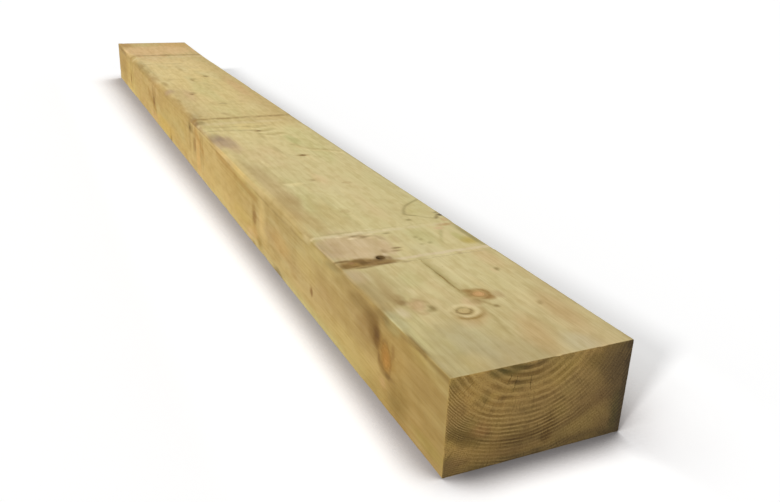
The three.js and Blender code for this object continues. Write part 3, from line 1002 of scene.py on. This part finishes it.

# %% [markdown]
# ## The end grain
#
# End grain is a bundle of cut straws. It drinks treatment and dirt, so it is the darkest
# face, and it is darker still in patches. Its paint is also darker towards the rim, most of
# all towards the bottom and the right. The broad tone goes by the distance from the heart,
# because every ring dried a little differently.

# %% Tones of the end grain
ring_stops = [55, 68, 78, 96, 108, 130, 146, 160, 170, 190, 215]
ring_tones = [0.93, 1.02, 1.00, 1.08, 1.03, 0.97, 0.90, 0.82, 0.98, 0.94, 0.88]
adjust(on_ends, np.interp(from_heart, ring_stops, ring_tones)[:, None])
blotch = noise_at(points, (60, 16, 11), 47, octaves=3)
hue = noise_at(points, (60, 26, 20), 48, octaves=2)
cover(0.35 * on_ends * smooth(hue, 0.05, 0.7), (150, 118, 70))
cover(0.35 * on_ends * smooth(-hue, 0.05, 0.7), (134, 116, 58))
adjust(0.9 * on_ends * smooth(blotch, 0.0, 0.9), (0.80, 0.78, 0.74))
cover(0.30 * on_ends * smooth(-blotch, 0.1, 0.9), (160, 134, 80))
blots("Near end", "near end", [
    ((78, 6), (34, 8), (92, 78, 34), 0.85), ((66, 5), (16, 5), (78, 70, 30), 0.6),
    ((108, 16), (36, 9), (118, 92, 42), 0.42), ((150, 20), (30, 15), (162, 136, 72), 0.65, -20),
    ((44, 14), (26, 12), (146, 120, 70), 0.5), ((16, 62), (22, 14), (92, 76, 38), 0.6, 20),
    ((24, 80), (30, 12), (84, 66, 28), 0.85, 22), ((10, 50), (16, 16), (132, 104, 62), 0.5),
    ((47, 76), (14, 12), (136, 96, 58), 0.5), ((66, 62), (24, 8), (150, 122, 72), 0.5),
    ((88, 74), (46, 10), (146, 120, 70), 0.5), ((90, 100), (56, 9), (98, 74, 34), 0.75, -4),
    ((38, 92), (30, 6), (112, 90, 44), 0.5, 12), ((38, 103), (42, 10), (148, 120, 68), 0.65, 4),
    ((12, 112), (18, 8), (122, 92, 56), 0.6), ((84, 114), (40, 7), (124, 96, 56), 0.6),
    ((140, 92), (10, 22), (104, 80, 36), 0.7), ((138, 106), (10, 9), (92, 66, 28), 0.75),
    ((160, 108), (22, 8), (130, 106, 60), 0.6), ((172, 44), (34, 20), (138, 114, 66), 0.5),
    ((205, 70), (40, 52), (116, 92, 52), 0.55), ((196, 16), (22, 13), (112, 90, 44), 0.75),
    ((224, 124), (16, 6), (80, 64, 36), 0.5), ((220, 26), (22, 26), (96, 76, 42), 0.75),
    ((232, 44), (18, 44), (94, 74, 42), 0.75), ((214, 66), (14, 12), (104, 80, 46), 0.6),
    ((192, 101), (40, 13), (142, 119, 66), 0.65, -14), ((14, 7), (16, 9), (116, 96, 52), 0.5),
    ((13, 40), (17, 11), (112, 88, 48), 0.45), ((186, 84), (34, 7), (104, 80, 42), 0.6, -26),
    ((212, 102), (12, 14), (128, 102, 56), 0.5), ((240, 96), (12, 30), (80, 70, 34), 0.8),
    ((246, 60), (6, 90), (72, 56, 32), 0.85), ((180, 120), (50, 5), (96, 76, 42), 0.6, -4),
    ((100, 124), (120, 4), (104, 84, 50), 0.55), ((125, 129), (160, 3.5), (78, 64, 40), 0.6),
    ((150, 32), (16, 5), (164, 138, 72), 0.5, -30)])

# %% The rim of the end, and painted shade and light inside the cuts
adjust(on_ends * smooth(from_front, 200, 247), (0.82, 0.82, 0.84))
adjust(on_ends * fade(from_front, 60, 100), (1.08, 1.08, 1.05))
adjust(on_ends * fade(from_front, 26, 46) * fade(depth_below_top, 84, 104), (1.05, 1.05, 1.03))
blot("near end", (120, 60), (34, 14), (128, 102, 58), 0.45)
adjust(on_ends * fade(from_front, 0, 26) * smooth(depth_below_top, 96, 112), (0.88, 0.88, 0.88))
adjust(on_ends * smooth(depth_below_top, 80, 127), (0.86, 0.86, 0.84))
adjust(on_ends * fade(depth_below_top, 2, 14) * smooth(from_front, 190, 240), (0.86, 0.84, 0.80))

in_hole = in_cut & (from_end > 320)
in_check = in_cut & ~in_hole
# The walls of the knot hole are painted dark: painted shade inside the hole.
adjust(in_hole, (0.35, 0.28, 0.2))
# The walls of the checks are painted pale, those of the check in the upper face as light as paint goes:
# painted light that lifts the shade inside the narrow splits.
cover(0.7 * in_check, (216, 196, 140))
cover(in_check & (from_end > 150), (255, 240, 196))
print("Mean tones, 0 to 255:", {face: (255 * np.average(paint, axis=0, weights=share)).round().tolist()
                                for face, share in facing.items()})

# %% [markdown]
# ## From paint to mesh
#
# The lamp in this scene comes in low from the front, so the front gets more light than the
# upper face. The paint is set off against that, as an eye does when it judges a colour in
# light and in shade. What the material needs to know about a point travels with the mesh
# as attributes: one number each, and one colour.

# %% Measures that the material reads
def to_linear(colours):
    """Screen tones to the linear light that a shader works in."""
    colours = np.clip(colours, 0, 1)
    return np.where(colours <= 0.04045, colours / 12.92, ((colours + 0.055) / 1.055) ** 2.4)


# Rings show clearly at the left of the near end and blur towards its right.
ring_patch = smooth(noise_at(points, (60, 26, 20), 49, octaves=2), -0.5, 0.35)
end_show = (1 - 0.78 * smooth(from_front, 140, 215)) * (1 - 0.45 * smooth(depth_below_top, 80, 120))
point_values = {
    "growth": growth,
    "ray": ray,
    "ring_show": np.where(on_ends > 0, end_show * (0.5 + 0.6 * ring_patch), 0.6 + 0.35 * cloud),
    "narrow_rings": on_ends * smooth(from_heart, 112, 122) * fade(from_front, 20, 44),
    "knot_distance": np.clip(knot_distance, 0, 4),
    "knot_tone": knot_tone,
    "knot_show": knot_show,
    "bark_show": bark_show,
    "end_grain": on_ends,
    "upper_face": on_top,
    "below_wane": depth_below_top - wane_at(points[:, 0] * mm) / mm,
    "at_front_edge": along_face * fade(from_front, 3, 9),
}
light_on_top = 1.22
light_on_sides = 0.86
light_on_ends = 1.03
lit = light_on_top * on_top + light_on_sides * on_sides + light_on_ends * on_ends
level = np.where(lit > 0.3, lit, 1.0) / np.maximum(on_top + on_sides + on_ends, 1)
print(f"Paint level: {level.min():.2f} to {level.max():.2f}")

# %% Give the mesh its attributes
sleeper_mesh = bpy.data.meshes.new("sleeper_timber")
timber.to_mesh(sleeper_mesh)
timber.free()
sleeper.data = sleeper_mesh
for name, values in point_values.items():
    attribute = sleeper_mesh.attributes.new(name, "FLOAT", "POINT")
    attribute.data.foreach_set("value", values.astype(np.float32))
opacity = np.ones(point_count)
attribute = sleeper_mesh.attributes.new("paint", "FLOAT_COLOR", "POINT")
attribute.data.foreach_set("color", np.column_stack((to_linear(paint) * level[:, None], opacity)).ravel())
sleeper_mesh.polygons.foreach_set("use_smooth", [True] * len(sleeper_mesh.polygons))
sleeper_mesh.set_sharp_from_angle(angle=math.radians(50))
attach(sleeper, "root")
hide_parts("sleeper")
triangles = sum(len(polygon.vertices) - 2 for polygon in sleeper_mesh.polygons)
print(f"The timber has {triangles} triangles")

# %% [markdown]
# ## The wood itself
#
# The material only adds what is finer than the mesh. It reads the ring number that every
# point carries, and its fraction says where in the year a spot lies. On a sawn face the
# late wood is the darker line. On the end it is the other way round: the open early wood
# has drunk the treatment and the dirt, and the dense late wood stays pale. Noise stretched
# along the timber gives the fibres. An image texture could look as rich, but it would
# break at every edge of the block.

# %% Helpers that add and link nodes
def empty_tree(owner):
    """Turns on the nodes of a material or world, and clears them."""
    owner.use_nodes = True
    owner.node_tree.nodes.clear()
    return owner.node_tree


def node(kind, **settings):
    """Adds a shader node to the tree that is being built."""
    made = tree.nodes.new("ShaderNode" + kind)
    for name, value in settings.items():
        setattr(made, name, value)
    return made


def plug(socket, value):
    """Links a socket to another node's output, or sets its value."""
    if isinstance(value, bpy.types.NodeSocket):
        tree.links.new(value, socket)
    else:
        socket.default_value = value


def calculate(operation, *values):
    """A Math node."""
    made = node("Math", operation=operation)
    for socket, value in zip(made.inputs, values):
        plug(socket, value)
    return made.outputs[0]


def times(*values):
    """The product of several values."""
    product = values[0]
    for value in values[1:]:
        product = calculate("MULTIPLY", product, value)
    return product


def carried(name, output="Fac"):
    """What the points of the mesh carry under a name."""
    return node("Attribute", attribute_name=name).outputs[output]


# %% Helpers for steps and colours
def soft_step(value, low, high, start=0.0, end=1.0):
    """A Map Range node with a smooth step."""
    made = node("MapRange", interpolation_type="SMOOTHSTEP")
    for socket, number in zip(made.inputs, (value, low, high, start, end)):
        plug(socket, number)
    return made.outputs[0]


def window(value, low, high, soft):
    """1 between two limits, with a soft step at each."""
    rising = soft_step(value, low - soft, low + soft)
    falling = soft_step(value, high - soft, high + soft, 1.0, 0.0)
    return times(rising, falling)


def linear(red, green, blue):
    """A colour socket's value from a screen tone."""
    return (*to_linear(np.array([red, green, blue]) / 255), 1.0)


def mix_colour(factor, first, second, blend="MIX"):
    """A Mix Color node."""
    made = node("Mix", data_type="RGBA", blend_type=blend)
    for name, value in (("Factor_Float", factor), ("A_Color", first), ("B_Color", second)):
        plug(next(socket for socket in made.inputs if socket.identifier == name), value)
    return next(socket for socket in made.outputs if socket.identifier == "Result_Color")


def tint(factor, colour, filter_colour):
    """Multiplies a colour by another one, as far as the factor says."""
    return mix_colour(factor, colour, filter_colour, "MULTIPLY")


print(f"A middle grey is {linear(128, 128, 128)[0]:.3f} in linear light")

# %% Helpers for noise
def noise_in(place, stretch, detail=3.0, roughness=0.55):
    """Noise in space; stretch is the size of its cells along, across and up, in metres."""
    mapping = node("Mapping")
    mapping.inputs["Scale"].default_value = [1 / size for size in stretch]
    plug(mapping.inputs["Vector"], place)
    made = node("TexNoise")
    made.inputs["Scale"].default_value = 1.0
    made.inputs["Detail"].default_value = detail
    made.inputs["Roughness"].default_value = roughness
    plug(made.inputs["Vector"], mapping.outputs["Vector"])
    return made.outputs["Fac"]


def grain_noise(stretch, detail=3.0, roughness=0.55):
    """Noise that is fixed to the timber."""
    return noise_in(place, stretch, detail, roughness)


# %% Start the material
pine = bpy.data.materials.new("sawn_pine")
tree = empty_tree(pine)
surface = node("BsdfPrincipled")
result = node("OutputMaterial")
plug(result.inputs["Surface"], surface.outputs["BSDF"])
place = node("TexCoord").outputs["Object"]
end_grain = carried("end_grain")
side_grain = calculate("SUBTRACT", 1.0, end_grain)
ground = carried("paint", "Color")
print(f"Nodes at the start: {len(tree.nodes)}")

# %% Number the years
wobble_share = calculate("MULTIPLY_ADD", end_grain, -0.16, 0.44)
ring_wobble = calculate("SUBTRACT", grain_noise((0.09, 0.009, 0.009)), 0.5)
growth_here = calculate("ADD", carried("growth"), times(wobble_share, ring_wobble))
season = calculate("FRACT", growth_here)
half_season = calculate("FRACT", times(growth_here, 2.0))
third_season = calculate("FRACT", times(growth_here, 3.0))
year_noise = node("TexWhiteNoise", noise_dimensions="1D")
plug(year_noise.inputs["W"], calculate("FLOOR", growth_here))
strength = times(calculate("MULTIPLY_ADD", year_noise.outputs["Value"], 0.6, 0.4), carried("ring_show"),
                 soft_step(grain_noise((0.35, 0.03, 0.03), detail=2), 0.30, 0.60, 0.35, 1.0))
print(f"Nodes for the years: {len(tree.nodes)}")

# %% Rings on the faces and on the ends
face_late = times(soft_step(season, 0.35, 0.88), soft_step(season, 0.93, 1.0, 1.0, 0.0), strength)
face_rings = tint(times(face_late, 0.17), ground, linear(190, 164, 116))

narrow_share = carried("narrow_rings")
wide_late = times(soft_step(season, 0.30, 0.66), soft_step(season, 0.80, 1.0, 1.0, 0.0))
narrow_late = window(half_season, 0.42, 0.86, 0.16)
end_late = calculate("ADD", times(wide_late, calculate("SUBTRACT", 1.0, narrow_share)),
                     times(narrow_late, narrow_share))
end_dark = tint(strength, ground, linear(212, 205, 188))
end_light = mix_colour(times(strength, 0.6), ground, linear(174, 146, 90))
false_rings = window(third_season, 0.15, 0.6, 0.15)
false_share = calculate("MULTIPLY_ADD", narrow_share, -0.55, 0.55)
end_rings = tint(times(false_rings, strength, false_share), mix_colour(end_late, end_dark, end_light),
                 linear(214, 206, 188))
ringed = mix_colour(end_grain, face_rings, end_rings)
print(f"Nodes for the rings: {len(tree.nodes)}")

# %% Fibres, pores and rays
long_fibre = grain_noise((0.16, 0.0022, 0.0022), detail=4, roughness=0.6)
fine_fibre = grain_noise((0.03, 0.0007, 0.0007), detail=2, roughness=0.6)
fibre = calculate("ADD", times(long_fibre, 0.6), times(fine_fibre, 0.4))
fibred = tint(soft_step(fibre, 0.62, 0.30, 0.0, 0.42), ringed, linear(222, 214, 196))
pores = grain_noise((0.01, 0.0016, 0.0016), roughness=0.75)
pored = tint(times(end_grain, soft_step(pores, 0.52, 0.30)), fibred, linear(184, 177, 160))
rays_across = 130.0
rays_outwards = 0.22
ray_place = node("CombineXYZ")
plug(ray_place.inputs["X"], times(carried("ray"), rays_across))
plug(ray_place.inputs["Y"], times(growth_here, rays_outwards))
rays = noise_in(ray_place.outputs["Vector"], (1, 1, 1), roughness=0.7)
wood = tint(times(end_grain, soft_step(rays, 0.50, 0.28)), pored, linear(204, 197, 180))
print(f"Nodes with the fibres: {len(tree.nodes)}")

# %% [markdown]
# ## Knots in the material
#
# Each point also knows how far it is from the nearest knot, counted in radii of that knot.
# A distance like this blends smoothly between points, so a ramp over it draws a crisp
# outline even on a coarse mesh: hard dark wood inside with its own fine rings, a broken
# line of bark at 1, and a halo where the grain swirls past. The colours here are filters
# over the paint, so the stains still show through.

# %% Paint the knots
knot_wobble = grain_noise((0.006, 0.006, 0.006))
knot_edge = calculate("ADD", carried("knot_distance"), calculate("MULTIPLY_ADD", knot_wobble, 0.5, -0.25))
knot_visible = carried("knot_show")
core_filter = node("ValToRGB")
ramp = core_filter.color_ramp.elements
ramp[0].color = linear(252, 250, 240)
ramp[1].color = linear(158, 136, 112)
ramp.new(ORANGE).color = linear(238, 202, 166)
ramp.new(BROWN).color = linear(204, 174, 142)
plug(core_filter.inputs["Fac"], carried("knot_tone"))
inside = times(soft_step(knot_edge, 1.05, 0.80), knot_visible)
core = tint(inside, wood, core_filter.outputs["Color"])
core_rings = calculate("SINE", times(knot_edge, 24.0))
cored = tint(times(inside, calculate("MULTIPLY_ADD", core_rings, 0.4, 0.4)), core, linear(208, 192, 168))
halo = times(soft_step(knot_edge, 2.3, 1.0), side_grain, knot_visible, 0.55)
haloed = tint(halo, cored, linear(230, 216, 188))
bark = times(soft_step(knot_edge, 0.74, 0.98), soft_step(knot_edge, 1.26, 1.04), carried("bark_show"))
knotted = tint(times(bark, 0.9), haloed, linear(150, 124, 88))
print(f"Nodes with the knots: {len(tree.nodes)}")

# %% [markdown]
# ## Lines that are finer than the mesh
#
# A bearer leaves thin lines along its sides: pale where fibres were scraped up, and dark
# where dirt stayed. They are bands over the distance along the timber, which a little
# noise makes uneven. Painted on the points they would blur, since the points lie several
# millimetres apart, so they are drawn in the material, from Object coordinates.

# %% Marks of the bearers
axes = node("SeparateXYZ")
plug(axes.inputs["Vector"], place)
uneven = grain_noise((0.05, 0.012, 0.012))
along = calculate("MULTIPLY_ADD", axes.outputs["X"], -1000.0, half_length / mm)
along = calculate("ADD", along, calculate("MULTIPLY_ADD", uneven, 9.0, -4.5))
across = calculate("MULTIPLY_ADD", axes.outputs["Y"], 1000.0, half_width / mm)
upper_face = carried("upper_face")
worn = soft_step(grain_noise((0.03, 0.02, 0.02)), 0.30, 0.55, 0.25, 1.0)

# Distance from the near end, slope across, half breadth, from and to across the face,
# softness, tone and strength.
bands = [
    (326, 0, 4.5, 100, 260, 3, (224, 205, 164), 0.85),
    (312, 0, 1.0, 86, 230, 1.2, (160, 142, 100), 0.4),
    (441, 0, 5, 20, 240, 5, (222, 206, 162), 0.6),
    (449, 0, 1.0, 0, 200, 1.5, (168, 150, 104), 0.35),
    (1169, -0.16, 4, 0, 130, 4, (160, 134, 86), 0.4),
    (1200, -0.04, 4, 30, 170, 5, (168, 142, 92), 0.4),
    (1234, 0.02, 12, 0, 210, 9, (224, 204, 152), 0.6),
    (1288, 0, 8, 0, 260, 6, (150, 118, 60), 0.65),
    (2135, 0, 4, 0, 150, 4, (158, 130, 82), 0.5),
    (2266, 0.06, 10, 0, 260, 8, (220, 196, 146), 0.6),
    (2314, 0, 9, 0, 260, 9, (150, 114, 62), 0.6),
]
marked = knotted
for middle, slope, half_breadth, from_across, to_across, soft, colour, share in bands:
    slanted = calculate("MULTIPLY_ADD", across, -slope, along)
    band = window(slanted, middle - half_breadth, middle + half_breadth, soft)
    part = window(across, from_across - 10, to_across, 8)
    marked = mix_colour(times(band, part, upper_face, worn, share), marked, linear(*colour))
print(f"Bearer lines: {len(bands)}")

# %% The painted shadow line under the wane
# A thin dark line just under the wane, where the rounded edge turns down into the front: painted shade.
below_edge = calculate("ADD", carried("below_wane"), calculate("MULTIPLY_ADD", uneven, 5.0, -2.5))
broken = soft_step(grain_noise((0.09, 0.05, 0.05), detail=2), 0.36, 0.58)
line_share = calculate("MULTIPLY_ADD", window(along, 440.0, 1150.0, 40.0), 0.2, 0.1)
wane_shadow_line = times(window(below_edge, 0.0, 4.0, 2.0), broken, line_share, carried("at_front_edge"))
wane_shadowed = tint(wane_shadow_line, marked, linear(176, 160, 116))
print(f"Nodes with the edge line: {len(tree.nodes)}")

# %% Dirt and roughness
speck = grain_noise((0.012, 0.003, 0.003), detail=2, roughness=0.7)
dirty = tint(soft_step(speck, 0.70, 0.82, 0.0, 0.5), wane_shadowed, linear(170, 152, 118))
dapple = grain_noise((0.03, 0.012, 0.012), detail=2, roughness=0.5)
dapple_share = times(soft_step(dapple, 0.42, 0.66, 0.0, 0.34), side_grain)
plug(surface.inputs["Base Color"], tint(dapple_share, dirty, linear(228, 220, 196)))
plug(surface.inputs["Roughness"], soft_step(fibre, 0.3, 0.7, 0.92, 0.74))
surface.inputs["Specular IOR Level"].default_value = 0.25
print(f"Nodes with the dirt: {len(tree.nodes)}")

# %% Fine relief
saw_lines = grain_noise((0.0035, 0.12, 0.12), detail=2, roughness=0.5)
relief = calculate("MULTIPLY_ADD", saw_lines, 0.35, times(fibre, 0.8))
for height_of, share in ((face_late, 0.25), (bark, -0.5), (times(end_grain, pores), 0.6)):
    relief = calculate("MULTIPLY_ADD", height_of, share, relief)
bump = node("Bump")
bump.inputs["Strength"].default_value = 0.4
bump.inputs["Distance"].default_value = 0.6 * mm
plug(bump.inputs["Height"], relief)
plug(surface.inputs["Normal"], bump.outputs["Normal"])
sleeper.data.materials.append(pine)
print(f"The material has {len(tree.nodes)} nodes")

# %% [markdown]
# ## The floor
#
# The timber lies on a plain pale floor. To the camera the open floor is white, and only
# what the timber shades stays grey. A white floor alone would not do: it would show the
# whole sky that the block hides as a broad grey stain. So the camera sees a second
# surface. Ambient Occlusion nodes measure how near the block is, which draws a narrow
# shade at its foot, and a little light of the floor's own gives the hidden sky back. All
# other rays meet plain matt paint, so that the block is lit as on any pale floor.

# %% The floor, and what its nodes ask
floor_size = 30.0
floor_mesh = bmesh.new()
bmesh.ops.create_grid(floor_mesh, x_segments=1, y_segments=1, size=floor_size)
floor = mesh_object("floor", floor_mesh)


def seen_directly():
    """1 for what the camera, a mirror or glass sees, and 0 for rays that only carry light."""
    path = node("LightPath")
    through = calculate("MAXIMUM", path.outputs["Is Glossy Ray"], path.outputs["Is Transmission Ray"])
    return calculate("MAXIMUM", path.outputs["Is Camera Ray"], through)


def occlusion(distance):
    """How open the floor is to the sky, looking no farther than a distance."""
    made = node("AmbientOcclusion", samples=16)
    plug(made.inputs["Distance"], distance)
    return made.outputs["AO"]


def blend(share, low, high):
    """Low where the share is 0 and high where it is 1."""
    return calculate("MULTIPLY_ADD", share, calculate("SUBTRACT", high, low), low)


print(f"The floor is {2 * floor_size:.0f} m square")

# %% Where the floor is shaded
floor_material = bpy.data.materials.new("pale_floor")
tree = empty_tree(floor_material)
floor_place = node("SeparateXYZ")
plug(floor_place.inputs["Vector"], node("TexCoord").outputs["Object"])
floor_x = floor_place.outputs["X"]
floor_y = floor_place.outputs["Y"]
reach_far = 0.15
reach_near = 0.068
reach_behind = 0.20
foot_in_front = 0.30
foot_behind = 0.13
narrow_reach = soft_step(floor_x, -half_length, half_length, reach_far, reach_near)
behind = soft_step(floor_y, 0.8 * half_width, 1.3 * half_width)
open_share = soft_step(occlusion(blend(behind, narrow_reach, reach_behind)), 0.5, 1.0)
foot_tone = soft_step(floor_y, -half_width - 0.005, -half_width + 0.04, foot_in_front, foot_behind)
print(f"The shade reaches {reach_near / mm:.0f} to {reach_behind / mm:.0f} mm")

# %% A white floor that keeps the shadow
shade_colour = mix_colour(open_share, (0.97, 0.92, 0.92, 1.0), (1.0, 1.0, 1.0, 1.0))
shade = node("VectorMath", operation="SCALE")
plug(shade.inputs[0], shade_colour)
plug(shade.inputs["Scale"], blend(open_share, foot_tone, 1.0))
matt_seen = node("BsdfDiffuse")
plug(matt_seen.inputs["Color"], shade.outputs["Vector"])

hidden_sky_reach = 0.25
hidden_sky_share = 0.75
white_top_up = 0.14
lift = node("Emission")
plug(lift.inputs["Color"], shade.outputs["Vector"])
plug(lift.inputs["Strength"], calculate("MULTIPLY_ADD", occlusion(hidden_sky_reach), -hidden_sky_share,
                                        hidden_sky_share + white_top_up))
seen_floor = node("AddShader")
plug(seen_floor.inputs[0], matt_seen.outputs["BSDF"])
plug(seen_floor.inputs[1], lift.outputs["Emission"])
matt = node("BsdfDiffuse")
matt.inputs["Color"].default_value = (0.8, 0.8, 0.8, 1)
floor_surface = node("MixShader")
plug(floor_surface.inputs["Fac"], seen_directly())
plug(floor_surface.inputs[1], matt.outputs["BSDF"])
plug(floor_surface.inputs[2], seen_floor.outputs["Shader"])
plug(node("OutputMaterial").inputs["Surface"], floor_surface.outputs["Shader"])
floor.data.materials.append(floor_material)
print(f"The floor has {len(tree.nodes)} nodes")

# %% [markdown]
# ## Sky and lamp
#
# The light is soft and even, so that a colour looks as it was painted: a bright overcast
# sky all round, and one wide lamp from the front, on the near end's side. The sky lights
# the timber at less than full strength, but where the camera looks straight at it, it is
# plain white.

# %% Sky and lamp
sky_strength = 0.60
lamp_share = 0.62
world = bpy.data.worlds.new("overcast sky")
bpy.context.scene.world = world
tree = empty_tree(world)
sky = node("Background")
sky.inputs["Color"].default_value = (1, 1, 1, 1)
plug(sky.inputs["Strength"], calculate("MULTIPLY_ADD", seen_directly(), 1 - sky_strength, sky_strength))
plug(node("OutputWorld").inputs["Surface"], sky.outputs["Background"])

lamp_data = bpy.data.lights.new("wide_lamp", "SUN")
lamp_data.energy = lamp_share * math.pi
lamp_data.angle = math.radians(8)
lamp = bpy.data.objects.new("wide_lamp", lamp_data)
lamp_from = Vector((0.45, -0.75, 0.42))
lamp.rotation_euler = lamp_from.to_track_quat("Z", "Y").to_euler()
bpy.context.scene.collection.objects.link(lamp)
bpy.context.scene.view_settings.view_transform = "Standard"
print(f"Sky at {sky_strength:.2f} and lamp at {lamp_data.energy:.2f}")
